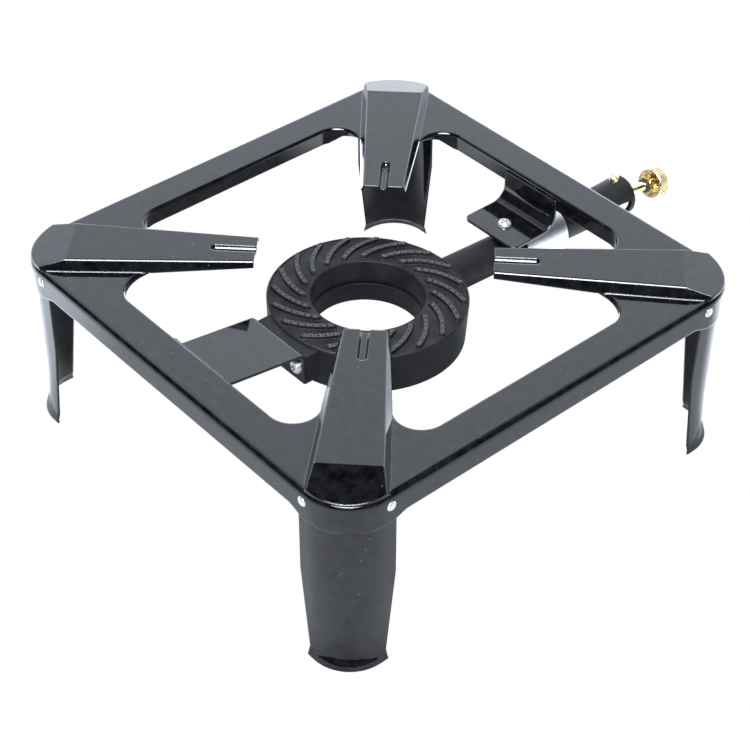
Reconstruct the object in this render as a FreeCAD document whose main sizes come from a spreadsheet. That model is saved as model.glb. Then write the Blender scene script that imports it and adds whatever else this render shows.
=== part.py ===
"""Stock pot range: a square pressed frame on four legs with a hanging cast ring burner.

Millimetres. X points right, Y from the front bracket towards the gas inlet, Z up. The
origin lies on the floor, below the middle of the whole object's length.
"""
import FreeCAD, Part
import math
import os
import Sketcher
from FreeCAD import Placement, Rotation, Vector

DIMENSIONS = {
    # pressed top frame
    "frame_width": 400.0,
    "frame_corner_radius": 40.0,
    "frame_edge_radius": 5.0,
    "sheet_thickness": 1.2,
    "rail_height": 155.2,
    "rail_width": 31.6,
    "skirt_depth": 20.2,
    "skirt_corner_drop": 5.0,
    "skirt_corner_reach": 42.0,
    "skirt_corner_slope": 14.0,
    "flange_depth": 13.7,
    "flange_fade_run": 9.0,
    "flange_fade_rise": 7.0,
    "window_corner_radius": 20.0,
    "window_edge_radius": 2.5,
    # pot arms, pressed in one with the frame
    "arm_rise": 8.6,
    "arm_tip_reach": 91.0,
    "arm_tip_width": 31.2,
    "arm_foot_width": 47.2,
    "arm_pad_width": 58.0,
    "arm_pad_rise": 0.4,
    "arm_pad_margin": 1.0,
    "arm_crease_inset": 32.3,
    "arm_flank_angle": 29.0,
    "arm_flank_depth": 4.5,
    "arm_edge_radius": 2.0,
    "groove_length": 35.0,
    "groove_width": 7.6,
    "groove_depth": 3.2,
    # legs and their rivets
    "leg_thickness": 1.2,
    "leg_top_gap": 5.7,
    "leg_width": 66.0,
    "leg_foot_width": 54.0,
    "leg_toe_width": 58.0,
    "leg_toe_radius": 34.0,
    "leg_toe_height": 8.0,
    "leg_taper_start": 80.0,
    "leg_toe_flare": 4.6,
    "leg_knee_drop": 2.0,
    "toe_bend_height": 3.6,
    "toe_bend_share": 0.8,
    "splay_front_right": 4.0,
    "splay_rear_right": -1.5,
    "splay_rear_left": 1.0,
    "splay_front_left": 2.0,
    "rivet_diameter": 4.0,
    "rivet_head_diameter": 8.0,
    "rivet_head_height": 1.8,
    "rivet_edge": 2.95,
    "rivet_drop": 9.7,
    # burner casting
    "burner_height": 93.1,
    "burner_offset": -8.3,
    "burner_tilt": 2.4,
    "ring_radius": 78.6,
    "ring_draft": 1.2,
    "ring_height": 35.5,
    "ring_wall": 4.4,
    "ring_floor": 4.0,
    "ring_bottom_round": 2.0,
    "ring_chamfer": 1.0,
    "hole_radius": 43.2,
    "hole_lip": 1.5,
    "seam_height": 14.5,
    "tube_axis_height": 16.2,
    "tube_tilt": 3.35,
    "tube_radius": 15.2,
    "tube_wall": 3.5,
    "bell_throat_length": 33.0,
    "bell_throat_radius": 15.7,
    "bell_length": 30.0,
    "tube_length": 288.0,
    "bell_radius": 17.1,
    "lug_width": 58.0,
    "lug_reach": 7.0,
    "lug_root": 12.0,
    "lug_height": 25.0,
    "lug_bottom": 11.5,
    "boss_radius": 7.0,
    "boss_setback": 29.3,
    "fin_lead": 2.5,
    "fin_length": 54.0,
    "fin_thickness": 3.0,
    "air_window_length": 14.0,
    "air_window_height": 15.0,
    "air_window_inset": 4.5,
    "air_window_drop": 11.25,
    "air_window_gap": 1.0,
    "bridge_width": 11.0,
    "bridge_length": 12.0,
    "bridge_inset": 6.0,
    # burner cap
    "cap_thickness": 5.0,
    "cap_edge": 1.8,
    "cap_fit": 0.1,
    "cap_hole_radius": 44.8,
    "cap_skirt_thickness": 4.0,
    "cap_seam_step": 0.6,
    "cap_lip_height": 3.0,
    "cap_lip_lean": 0.4,
    "pillar_radius": 5.5,
    "pillar_circle": 60.0,
    "rib_width": 4.6,
    "rib_height": 3.0,
    "rib_chamfer": 0.6,
    "rib_inner_radius": 47.5,
    "rib_outer_radius": 76.5,
    "rib_sweep": 28.0,
    "port_diameter": 2.2,
    # sheet brackets
    "bracket_thickness": 2.0,
    "front_bracket_width": 59.5,
    "front_web_top_gap": 3.2,
    "front_plate_lift": 5.4,
    "front_plate_drop": 11.0,
    "front_flange_height": 27.7,
    "rear_bracket_width": 58.0,
    "rear_web_top_gap": 3.7,
    "rear_tab_drop": 28.9,
    "rear_tab_overhang": 18.0,
    "rear_bend_radius": 12.0,
    "bracket_bend_radius": 2.5,
    "bracket_corner_radius": 6.0,
    # screws
    "screw_diameter": 6.0,
    "screw_head_diameter": 11.0,
    "screw_head_height": 3.6,
    "front_screw_length": 12.0,
    "front_screw_spacing": 44.0,
    "front_screw_height": 12.5,
    "rear_screw_length": 14.0,
    "recess_length": 6.4,
    "recess_width": 1.6,
    "recess_depth": 2.2,
    "cap_screw_diameter": 5.0,
    "cap_screw_head_diameter": 9.0,
    "cap_screw_head_height": 3.0,
    "cap_screw_length": 16.0,
    "thread_clearance": 0.1,
    "drill_extra": 1.0,
    # heat sleeve
    "sleeve_radius": 22.0,
    "sleeve_thickness": 0.8,
    "sleeve_fit": 0.1,
    "sleeve_gap": 8.5,
    "sleeve_length": 45.5,
    # brass inlet
    "inlet_droop": 5.0,
    "inlet_pivot_inset": 6.0,
    "stem_diameter": 8.5,
    "stem_back": 22.0,
    "stem_front": 37.5,
    "stem_thread": 4.0,
    "jet_diameter": 7.0,
    "jet_length": 8.0,
    "jet_bore": 1.0,
    "gas_bore": 5.0,
    "stem_washer_diameter": 12.0,
    "stem_washer_thickness": 1.0,
    "inlet_hex_flats": 14.7,
    "inlet_hex_length": 8.0,
    "nipple_radius": 5.0,
    "nipple_flange_radius": 9.0,
    "nipple_flange_thickness": 2.0,
    "union_radius": 13.5,
    "union_length": 10.0,
    "union_rim": 2.4,
    "union_chamfer": 0.8,
    "union_recess": 2.0,
    "union_floor": 2.0,
    "union_knurls": 36,
    "knurl_radius": 0.8,
    "union_gap": 0.3,
    "seal_thickness": 1.5,
    "lock_screw_diameter": 5.0,
    "lock_screw_head_diameter": 8.0,
    "lock_screw_head_height": 3.6,
    "lock_screw_chamfer": 0.5,
    "lock_screw_stand": 2.5,
    "lock_screw_tip_gap": 0.15,
    "slot_width": 1.2,
    "slot_depth": 1.6,
}
RIB_COUNT = 20
PORTS_PER_RIB = 8
CAP_SCREW_COUNT = 3
FIN_COUNT = 4
PAST = 1.0  # how far a cutting tool runs past the faces it cuts

document = FreeCAD.newDocument("StockPotRange")
sheet = document.addObject("Spreadsheet::Sheet", "Sizes")
for row, (alias, number) in enumerate(DIMENSIONS.items(), start=1):
    sheet.set("A%d" % row, alias.replace("_", " "))
    sheet.set("B%d" % row, str(number))
    sheet.setAlias("B%d" % row, alias)
document.recompute()


class Size:
    """A number together with the sheet formula that gives it."""

    def __init__(self, value, formula=None):
        self.value = float(value)
        self.formula = formula or repr(float(value))

    def __float__(self):
        return self.value

    def __add__(self, other):
        other = as_size(other)
        return Size(self.value + other.value, "(%s + %s)" % (self.formula, other.formula))

    def __sub__(self, other):
        other = as_size(other)
        return Size(self.value - other.value, "(%s - %s)" % (self.formula, other.formula))

    def __mul__(self, other):
        other = as_size(other)
        return Size(self.value * other.value, "(%s * %s)" % (self.formula, other.formula))

    def __truediv__(self, other):
        other = as_size(other)
        return Size(self.value / other.value, "(%s / %s)" % (self.formula, other.formula))

    def __neg__(self):
        return Size(-self.value, "(0 - %s)" % self.formula)

    def __radd__(self, other):
        return as_size(other) + self

    def __rsub__(self, other):
        return as_size(other) - self

    def __rmul__(self, other):
        return as_size(other) * self


def as_size(number):
    return number if isinstance(number, Size) else Size(number)


def size(alias):
    """The named cell of the sheet."""
    return Size(sheet.get(alias), "Sizes." + alias)


def sine(degrees):
    return Size(math.sin(math.radians(degrees.value)), "sin(%s * 1 deg)" % degrees.formula)


def cosine(degrees):
    return Size(math.cos(math.radians(degrees.value)), "cos(%s * 1 deg)" % degrees.formula)


def tangent(degrees):
    return Size(math.tan(math.radians(degrees.value)), "tan(%s * 1 deg)" % degrees.formula)


# ---------------------------------------------------------------- places

tilt = size("burner_tilt")
tube_tilt = size("tube_tilt")
half_frame = size("frame_width") / 2
thickness = size("sheet_thickness")
rail_top = size("rail_height")
window_half = half_frame - size("rail_width")

hex_start = size("stem_front")
neck_start = hex_start + size("stem_thread")
union_start = hex_start + size("inlet_hex_length") + size("union_gap") - size("union_recess")
union_end = union_start + size("union_length")
nipple_face = (union_start + size("union_recess") + size("union_floor") + size("union_gap")
               + size("nipple_flange_thickness"))
lock_position = size("tube_length") - size("bridge_inset") - size("bridge_length") / 2
inlet_pivot = size("tube_length") - size("inlet_pivot_inset")
inlet_angle = tube_tilt + size("inlet_droop")
back_end = (size("burner_offset") + size("tube_axis_height") * sine(tilt)
            + inlet_pivot * cosine(tube_tilt)
            + union_end * cosine(inlet_angle) + size("union_radius") * sine(inlet_angle))
diagonal_share = math.sqrt(0.5)
frame_apex = half_frame / diagonal_share - size("frame_corner_radius") * (1 / diagonal_share - 1)
leg_apex = frame_apex - thickness
near_toe = leg_apex + size("splay_front_right") + size("leg_toe_flare")
front_end = ((near_toe - size("leg_toe_radius")) * diagonal_share + size("leg_toe_radius"))
centre_shift = (back_end - front_end) / 2


def bind(thing, **formulas):
    """Ties properties of an object to the sheet."""
    for name, target in formulas.items():
        thing.setExpression(name, as_size(target).formula)


def place(thing, x, y, z, turn=0.0):
    """Puts an object at x, y, z of the frame, turned about -X by the given degrees."""
    x, y, z, turn = as_size(x), as_size(y) - centre_shift, as_size(z), as_size(turn)
    spot = Vector(x.value, y.value, z.value)
    thing.Placement = Placement(spot, Rotation(Vector(-1, 0, 0), turn.value))
    thing.setExpression("Placement.Base.x", x.formula)
    thing.setExpression("Placement.Base.y", y.formula)
    thing.setExpression("Placement.Base.z", z.formula)
    if turn.value:
        thing.setExpression("Placement.Rotation.Angle", turn.formula)
    return thing


def burner_point(along, height):
    """Y and Z of a point of the burner, which hangs tilted towards the inlet."""
    across = size("burner_offset") + along * cosine(tilt) + height * sine(tilt)
    up = size("burner_height") - along * sine(tilt) + height * cosine(tilt)
    return across, up


def tube_point(along, height=0.0):
    """Y and Z of a point along the mixer tube's own axis, or above it."""
    along, height = as_size(along), as_size(height)
    across, up = burner_point(Size(0), size("tube_axis_height"))
    return (across + along * cosine(tube_tilt) + height * sine(tube_tilt),
            up - along * sine(tube_tilt) + height * cosine(tube_tilt))


def inlet_point(along):
    """Y and Z of a point on the inlet's drooping axis."""
    across, up = tube_point(inlet_pivot)
    return across + along * cosine(inlet_angle), up - along * sine(inlet_angle)


def in_burner(thing, along, height, x=0.0):
    return place(thing, x, *burner_point(as_size(along), as_size(height)), tilt)


def on_tube(thing, along):
    return place(thing, 0, *tube_point(along), 90 + tube_tilt)


def above_tube(thing, along, height=0.0, x=0.0):
    return place(thing, x, *tube_point(along, height), tube_tilt)


def on_inlet(thing, along):
    return place(thing, 0, *inlet_point(as_size(along)), 90 + inlet_angle)


# ---------------------------------------------------------------- features

def origin_plane(body, role):
    return next(item for item in body.Origin.OriginFeatures if item.Role == role)


def pin(sketch, kind, geometry, target):
    """Fixes one coordinate of a line's start point."""
    if target.value == 0:
        axis = -2 if kind == "DistanceX" else -1
        sketch.addConstraint(Sketcher.Constraint("PointOnObject", geometry, 1, axis))
        return
    index = sketch.addConstraint(
        Sketcher.Constraint(kind, -1, 1, geometry, 1, target.value))
    sketch.setExpression("Constraints[%d]" % index, target.formula)


def outline(body, role, corners):
    """A closed outline of straight lines whose corners follow the sheet."""
    corners = [(as_size(across), as_size(up)) for across, up in corners]
    sketch = body.newObject("Sketcher::SketchObject", body.Name + "_outline")
    sketch.AttachmentSupport = [(origin_plane(body, role), "")]
    sketch.MapMode = "FlatFace"
    points = [Vector(across.value, up.value, 0) for across, up in corners]
    count = len(points)
    sketch.addGeometry([Part.LineSegment(points[index], points[(index + 1) % count])
                        for index in range(count)])
    for index in range(count):
        sketch.addConstraint(
            Sketcher.Constraint("Coincident", index, 2, (index + 1) % count, 1))
    for index, (across, up) in enumerate(corners):
        pin(sketch, "DistanceX", index, across)
        pin(sketch, "DistanceY", index, up)
    return sketch


def new_body(name):
    body = document.addObject("PartDesign::Body", name)
    body.Label = name
    return body


def turned(name, corners):
    """A body turned about Z from corners given as radius and height."""
    body = new_body(name)
    revolution = body.newObject("PartDesign::Revolution", name + "_turn")
    sketch = outline(body, "XZ_Plane", corners)
    revolution.Profile = sketch
    revolution.ReferenceAxis = (sketch, ["V_Axis"])
    revolution.Angle = 360
    body.Tip = revolution
    return body


def ring_corners(inner, outer, low, high):
    return [(inner, low), (outer, low), (outer, high), (inner, high)]


def cylinder(name, radius, height):
    thing = document.addObject("Part::Cylinder", name)
    bind(thing, Radius=radius, Height=height)
    return thing


def block(name, length, width, height):
    thing = document.addObject("Part::Box", name)
    bind(thing, Length=length, Width=width, Height=height)
    return thing


def fused(name, shapes):
    thing = document.addObject("Part::MultiFuse", name)
    thing.Shapes = shapes
    thing.Refine = True
    return thing


def cut(name, base, tools):
    """The base without the tools."""
    tool = tools[0]
    if len(tools) > 1:
        tool = document.addObject("Part::MultiFuse", name + "_tools")
        tool.Shapes = tools
    thing = document.addObject("Part::Cut", name)
    thing.Base = base
    thing.Tool = tool
    thing.Label = name
    return thing


def feature(name, shape):
    """A piece whose shape is worked out here, placed with the whole object."""
    thing = document.addObject("Part::Feature", name)
    thing.Label = name
    thing.Shape = shape
    return thing


# ---------------------------------------------------------------- pressed frame

def corner_point(along, across, height):
    """A point of the front right diagonal: distance from the centre, offset and height."""
    return Vector(diagonal_share * (along + across), diagonal_share * (across - along), height)


def on_corners(shape):
    """The shape turned to each of the frame's four corners."""
    turned_shapes = []
    for quarter in range(4):
        copy = shape.copy()
        copy.rotate(Vector(), Vector(0, 0, 1), 90 * quarter)
        turned_shapes.append(copy)
    return turned_shapes


def prism(points, travel):
    return Part.Face(Part.makePolygon(points + points[:1])).extrude(travel)


def hexahedron(first, second):
    """A solid between two four-cornered faces."""
    faces = [first, second]
    for index in range(4):
        following = (index + 1) % 4
        faces.append([first[index], first[following], second[following], second[index]])
    shell = Part.makeShell([Part.Face(Part.makePolygon(face + face[:1])) for face in faces])
    return Part.makeSolid(shell)


def flat_edges(shape, height):
    return [edge for edge in shape.Edges
            if abs(edge.BoundBox.ZMin - height) < 1e-6 and edge.BoundBox.ZLength < 1e-6]


def rounded_square(half, radius, low, high):
    square = Part.makeBox(2 * half, 2 * half, high - low, Vector(-half, -half, low))
    upright = [edge for edge in square.Edges if edge.BoundBox.ZLength > high - low - 1e-6]
    return square.makeFillet(radius, upright)


class Pressing:
    """The pressed sheet's outer skin, or its inner skin when inset by the thickness."""

    def __init__(self, inset):
        self.inset = inset
        self.half = float(half_frame) - inset
        self.top = float(rail_top) - inset
        self.arm_top = self.top + float(size("arm_rise"))
        self.slope = math.tan(math.radians(float(size("arm_flank_angle"))))
        self.tip = float(size("arm_tip_reach"))
        self.corner = float(size("frame_corner_radius")) - inset
        self.apex = float(frame_apex)
        self.crease = self.apex - float(size("arm_crease_inset"))
        self.window_radius = float(size("window_corner_radius")) + inset

    def arm_half(self, along):
        """Half the arm's width on top, before the inset."""
        tip, foot = float(size("arm_tip_width")) / 2, float(size("arm_foot_width")) / 2
        return tip + (foot - tip) * (along - self.tip) / (self.crease - self.tip)

    def flank_foot(self, along):
        """Where the arm's flank meets the rail's level."""
        run = self.slope * float(size("arm_rise"))
        across = self.arm_half(along) + run - self.inset
        return diagonal_share * (along - across), diagonal_share * (along + across)

    def window_corner(self):
        """The tangent points and the middle of the arc between rail edge and flank foot."""
        edge = float(window_half) + self.inset
        start, end = self.flank_foot(self.tip), self.flank_foot(self.crease)
        share = (edge - start[1]) / (end[1] - start[1])
        meeting = start[0] + (end[0] - start[0]) * share
        away = (start[0] - meeting, start[1] - edge)
        length = math.hypot(*away)
        away = (away[0] / length, away[1] / length)
        turn = math.acos(-away[0])
        reach = self.window_radius / math.tan(turn / 2)
        rise = self.window_radius / math.sin(turn / 2) - self.window_radius
        bisector = (away[0] - 1, away[1])
        length = math.hypot(*bisector)
        middle = (meeting + bisector[0] / length * rise, edge + bisector[1] / length * rise)
        return (meeting - reach, edge), middle, (meeting + away[0] * reach, edge + away[1] * reach)

    def window(self, low, high):
        """The star-shaped opening between the rail and the arms."""
        on_rail, middle, on_flank = self.window_corner()
        tip = self.flank_foot(self.tip)
        edges = []
        for quarter in range(4):
            turn = Rotation(Vector(0, 0, 1), 90 * quarter)

            def spot(point, mirror=1):
                return turn.multVec(Vector(mirror * point[0], point[1], low))

            edges += [
                Part.makeLine(spot(tip), spot(on_flank)),
                Part.Arc(spot(on_flank), spot(middle), spot(on_rail)).toShape(),
                Part.makeLine(spot(on_rail), spot(on_rail, -1)),
                Part.Arc(spot(on_rail, -1), spot(middle, -1), spot(on_flank, -1)).toShape(),
                Part.makeLine(spot(on_flank, -1), spot(tip, -1)),
                Part.makeLine(spot(tip, -1), Rotation(Vector(0, 0, 1), 90).multVec(spot(tip))),
            ]
        return Part.Face(Part.Wire(edges)).extrude(Vector(0, 0, high - low))

    def section(self, along, half, height):
        """A cross-section of an arm: top width down to the rail's level."""
        foot = half + (height - self.top) * self.slope
        return [corner_point(along, -half, height), corner_point(along, half, height),
                corner_point(along, foot, self.top), corner_point(along, -foot, self.top)]

    def arm(self, clip):
        """One pot arm with the facet that falls to the frame's corner."""
        slant = math.atan(self.slope)
        narrowing = self.inset / math.cos(slant) - self.inset * self.slope
        start = self.tip - (PAST if self.inset else 0)
        foot_half = float(size("arm_foot_width")) / 2 - narrowing
        crease = self.section(self.crease, foot_half, self.arm_top)
        reach = self.section(start, self.arm_half(start) - narrowing, self.arm_top)
        beam = hexahedron(reach, crease)
        end = self.apex + PAST
        end_half = float(size("arm_pad_width")) / 2 - narrowing
        end_height = self.top + float(size("arm_pad_rise"))
        facet = hexahedron(crease, self.section(end, end_half, end_height))
        return [beam, facet.common(clip)]

    def solid(self):
        """Everything below this skin, with the rounded outer bend and arm edges."""
        low = float(rail_top - size("skirt_depth") - size("skirt_corner_drop"))
        low -= PAST if self.inset else 0
        above = self.arm_top + PAST
        slab = rounded_square(self.half, self.corner, low, self.top)
        bend = float(size("frame_edge_radius")) - self.inset
        slab = slab.makeFillet(bend, flat_edges(slab, self.top))
        slab = slab.cut(self.window(low - PAST, above))
        rim = [edge for edge in flat_edges(slab, self.top)
               if max(abs(edge.CenterOfMass.x), abs(edge.CenterOfMass.y))
               < float(window_half) + self.inset + PAST / 2]
        slab = slab.makeFillet(float(size("window_edge_radius")) - self.inset, rim)
        margin = float(size("arm_pad_margin"))
        clip = rounded_square(self.half - margin, self.corner - margin, low, above)
        pieces = []
        for piece in self.arm(clip):
            pieces += on_corners(piece)
        whole = slab.fuse(pieces).removeSplitter()
        arm_edges = [edge for edge in flat_edges(whole, self.arm_top)
                     if math.hypot(edge.CenterOfMass.x, edge.CenterOfMass.y) > self.tip + PAST]
        whole = whole.makeFillet(float(size("arm_edge_radius")) - self.inset, arm_edges)
        return whole.cut(on_corners(self.groove()))

    def groove(self):
        """The round-bottomed groove pressed into an arm's tip."""
        depth, chord = float(size("groove_depth")), float(size("groove_width")) / 2
        radius = (chord ** 2 + depth ** 2) / (2 * depth)
        height = float(rail_top + size("arm_rise")) + radius - depth
        end = self.tip + float(size("groove_length")) - chord
        start = corner_point(self.tip - chord, 0, height)
        stop = corner_point(end, 0, height)
        channel = Part.makeCylinder(radius + self.inset, (stop - start).Length, start, stop - start)
        return channel.fuse(Part.makeSphere(radius + self.inset, stop))


def skirt_trim():
    """What the skirt leaves open along one side, between its deeper corners."""
    low = float(rail_top - size("skirt_depth") - size("skirt_corner_drop"))
    side = float(rail_top - size("skirt_depth"))
    reach = float(half_frame - size("skirt_corner_reach"))
    shallow = reach - float(size("skirt_corner_slope"))
    behind = float(half_frame) - 4 * float(thickness)
    floor = low - PAST
    points = [Vector(-reach, behind, low), Vector(-shallow, behind, side),
              Vector(shallow, behind, side), Vector(reach, behind, low),
              Vector(reach, behind, floor), Vector(-reach, behind, floor)]
    return prism(points, Vector(0, float(half_frame) + PAST - behind, 0))


def flange_trim(skin):
    """The window's flange fades out from the rail round the corner to the arm's flank."""
    on_rail, middle, on_flank = skin.window_corner()
    rail, top = float(window_half), float(rail_top)
    low = top - float(size("flange_depth"))
    behind = rail + 2 * float(thickness)
    knee = rail - float(size("flange_fade_run"))
    shoulder = low + float(size("flange_fade_rise"))
    fade = on_flank[1]
    beyond = fade - 2 * float(thickness)
    floor = low - float(size("skirt_depth"))
    reach = middle[0] + float(size("window_corner_radius")) / 5
    profile = [(behind, low), (rail - float(thickness), low), (knee, shoulder), (fade, top),
               (beyond, top), (beyond, floor), (behind, floor)]
    points = [Vector(-reach, across, height) for across, height in profile]
    return prism(points, Vector(2 * reach, 0, 0))


def flank_trim(skin):
    """The open edge of an arm's two flanks, rising towards the tip."""
    on_flank = skin.window_corner()[2]
    end = diagonal_share * (on_flank[0] + on_flank[1])
    tip = skin.tip - 2 * PAST
    high = skin.arm_top - float(size("arm_flank_depth"))
    low = float(rail_top)
    floor = low - 2 * float(size("skirt_depth"))
    side = float(size("arm_foot_width"))
    points = [corner_point(tip, -side, high), corner_point(end, -side, low),
              corner_point(end, -side, floor), corner_point(tip, -side, floor)]
    return prism(points, corner_point(0, 2 * side, 0))


def rivet_places():
    """Where the front right leg's two rivets cross the skirt, and their outward axes."""
    inset = float(half_frame - (size("leg_width") / 2 - size("rivet_edge")) / diagonal_share)
    height = float(rail_top - size("rivet_drop"))
    face = float(half_frame)
    return [(Vector(face, -inset, height), Vector(1, 0, 0)),
            (Vector(inset, -face, height), Vector(0, -1, 0))]


def rivet_holes():
    radius = float(size("rivet_diameter") + size("thread_clearance")) / 2
    reach = 10 * PAST
    return [Part.makeCylinder(radius, 2 * reach, spot - axis * reach, axis)
            for spot, axis in rivet_places()]


def build_top_frame():
    outer, inner = Pressing(0.0), Pressing(float(thickness))
    shell = outer.solid().cut(inner.solid())
    tools = on_corners(skirt_trim()) + on_corners(flange_trim(outer))
    tools += on_corners(flank_trim(outer))
    for hole in rivet_holes():
        tools += on_corners(hole)
    shell = shell.cut(tools)
    return place(feature("top_frame", shell.removeSplitter()), 0, 0, 0)


# ---------------------------------------------------------------- legs

def leg_section(apex, radius, height):
    """The bent sheet at one height: flat, round corner, flat, outside and inside."""
    gauge = float(size("leg_thickness"))
    reach = float(size("leg_width")) / 2 + 8 * PAST
    centre = apex - radius

    def side(curve):
        bend = (centre + curve * diagonal_share, curve * diagonal_share)
        end = (bend[0] - (reach - bend[1]), reach)
        return [corner_point(end[0], -end[1], height), corner_point(bend[0], -bend[1], height),
                corner_point(centre + curve, 0, height),
                corner_point(bend[0], bend[1], height), corner_point(end[0], end[1], height)]

    outside, inside = side(radius), side(radius - gauge)
    edges = [Part.makeLine(outside[0], outside[1]),
             Part.Arc(outside[1], outside[2], outside[3]).toShape(),
             Part.makeLine(outside[3], outside[4]),
             Part.makeLine(outside[4], inside[4]),
             Part.makeLine(inside[4], inside[3]),
             Part.Arc(inside[3], inside[2], inside[1]).toShape(),
             Part.makeLine(inside[1], inside[0]),
             Part.makeLine(inside[0], outside[0])]
    return Part.Wire(edges)


def leg_shape(splay):
    """A leg at the front right: upright behind the skirt, splayed below, flared at the toe."""
    radius = float(size("frame_corner_radius") - thickness)
    apex = float(leg_apex)
    top = float(rail_top - size("leg_top_gap"))
    knee = float(rail_top - size("skirt_depth") - size("skirt_corner_drop")
                 - size("leg_knee_drop"))
    toe = float(size("leg_toe_height"))
    splayed = apex + splay
    flare = float(size("leg_toe_flare"))
    toe_radius = float(size("leg_toe_radius"))
    share = float(size("toe_bend_share"))
    bend = (splayed + flare * share, radius + (toe_radius - radius) * share,
            float(size("toe_bend_height")))
    levels = [(apex, radius, top), (apex, radius, knee), (splayed, radius, toe), bend,
              (splayed + flare, toe_radius, 0.0)]
    strip = Part.makeLoft([leg_section(*level) for level in levels], True, True)
    taper = float(size("leg_taper_start"))
    widths = [(size("leg_width"), top + PAST), (size("leg_width"), taper),
              (size("leg_foot_width"), toe), (size("leg_toe_width"), -PAST)]
    near = apex - 1.5 * float(size("leg_width"))
    points = [corner_point(near, float(width) / 2, height) for width, height in widths]
    points += [corner_point(near, -float(width) / 2, height) for width, height in widths[::-1]]
    travel = splayed + flare + PAST - near
    trimmed = strip.common(prism(points, corner_point(travel, 0, 0)))
    return trimmed.cut(rivet_holes())


def build_legs():
    corners = ["front_right", "rear_right", "rear_left", "front_left"]
    legs = []
    for quarter, corner in enumerate(corners):
        shape = leg_shape(float(size("splay_" + corner)))
        leg = place(feature("leg_" + corner, shape), 0, 0, 0)
        leg.Placement = Placement(leg.Placement.Base, Rotation(Vector(0, 0, 1), 90 * quarter))
        legs.append(leg)
    return legs


def build_rivets():
    """Rivets with a domed head outside and a formed head inside the leg."""
    stack = float(thickness + size("leg_thickness"))
    shank = float(size("rivet_diameter")) / 2
    head = float(size("rivet_head_diameter")) / 2
    rise = float(size("rivet_head_height"))
    dome = (head ** 2 + rise ** 2) / (2 * rise)
    cap = Part.makeSphere(dome, Vector(0, 0, rise - dome))
    cap = cap.common(Part.makeCylinder(head, rise, Vector()))
    body = Part.makeCylinder(shank, stack, Vector(0, 0, -stack))
    formed = Part.makeCone(head * 0.7, head * 0.9, rise * 0.7, Vector(0, 0, -stack - rise * 0.7))
    rivet = cap.fuse([body, formed]).removeSplitter()
    rivets = []
    for spot, axis in rivet_places():
        one = rivet.copy()
        one.Placement = Placement(spot, Rotation(Vector(0, 0, 1), axis))
        rivets += on_corners(one)
    return place(feature("leg_rivets", Part.makeCompound(rivets)), 0, 0, 0)


# ---------------------------------------------------------------- brackets

lug_face = burner_point(-(size("ring_radius") + size("lug_reach")), size("lug_bottom"))[0]
boss_y = window_half - size("boss_setback")
boss_along = (boss_y - tube_point(0)[0]) / cosine(tube_tilt)
boss_axis = tube_point(boss_along)[1]
sleeve_start = boss_along + size("sleeve_gap")
tab_top = rail_top - size("rear_tab_drop")
plate_top = size("burner_height") + size("ring_height") + size("front_plate_lift")
flange_low = plate_top - size("front_flange_height")
front_screw_level = flange_low + size("front_screw_height")
gauge = size("bracket_thickness")


def bent_strip(name, corners, width, bends):
    """A sheet strip: its side outline padded across X, with its bends rounded."""
    body = new_body(name)
    sketch = outline(body, "YZ_Plane", corners)
    pad = body.newObject("PartDesign::Pad", name + "_pad")
    pad.Profile = sketch
    pad.SideType = "Symmetric"
    bind(pad, Length=width)
    document.recompute()
    last = pad
    for number, (corner, radius) in enumerate(bends):
        spot = [as_size(value).value for value in corner]
        names = ["Edge%d" % (index + 1) for index, edge in enumerate(last.Shape.Edges)
                 if abs(edge.CenterOfMass.y - spot[0]) < 1e-4
                 and abs(edge.CenterOfMass.z - spot[1]) < 1e-4
                 and edge.BoundBox.XLength > float(width) / 2]
        fillet = body.newObject("PartDesign::Fillet", "%s_bend%d" % (name, number))
        fillet.Base = (last, names)
        bind(fillet, Radius=radius)
        document.recompute()
        last = fillet
    body.Tip = last
    return body


def build_front_bracket():
    """From the front rail's flange down to the burner's front lug."""
    rail = -window_half
    web_top = rail_top - size("front_web_top_gap")
    slope = size("front_plate_drop") / (lug_face - rail - gauge)
    rise = plate_top + size("front_plate_drop")
    inside = [(rail + gauge, web_top), (rail + gauge, rise), (lug_face, plate_top),
              (lug_face, flange_low)]
    outside = [(lug_face - gauge, flange_low),
               (lug_face - gauge, plate_top + gauge * slope - gauge),
               (rail, rise + gauge * slope - gauge), (rail, web_top)]
    small, large = size("bracket_bend_radius"), size("bracket_bend_radius") + gauge
    bends = [(inside[1], small), (outside[2], large), (inside[2], large), (outside[1], small)]
    body = bent_strip("front_bracket_blank", inside + outside,
                      size("front_bracket_width"), bends)
    place(body, 0, 0, 0)
    holes = []
    for side in (-1, 1):
        hole = cylinder("front_bracket_hole", (size("screw_diameter") + size("thread_clearance")) / 2,
                        gauge * 3)
        x = size("front_screw_spacing") / 2 * side
        holes.append(place(hole, x, lug_face - gauge * 2, front_screw_level, 90))
    return cut("front_bracket", body, holes)


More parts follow.
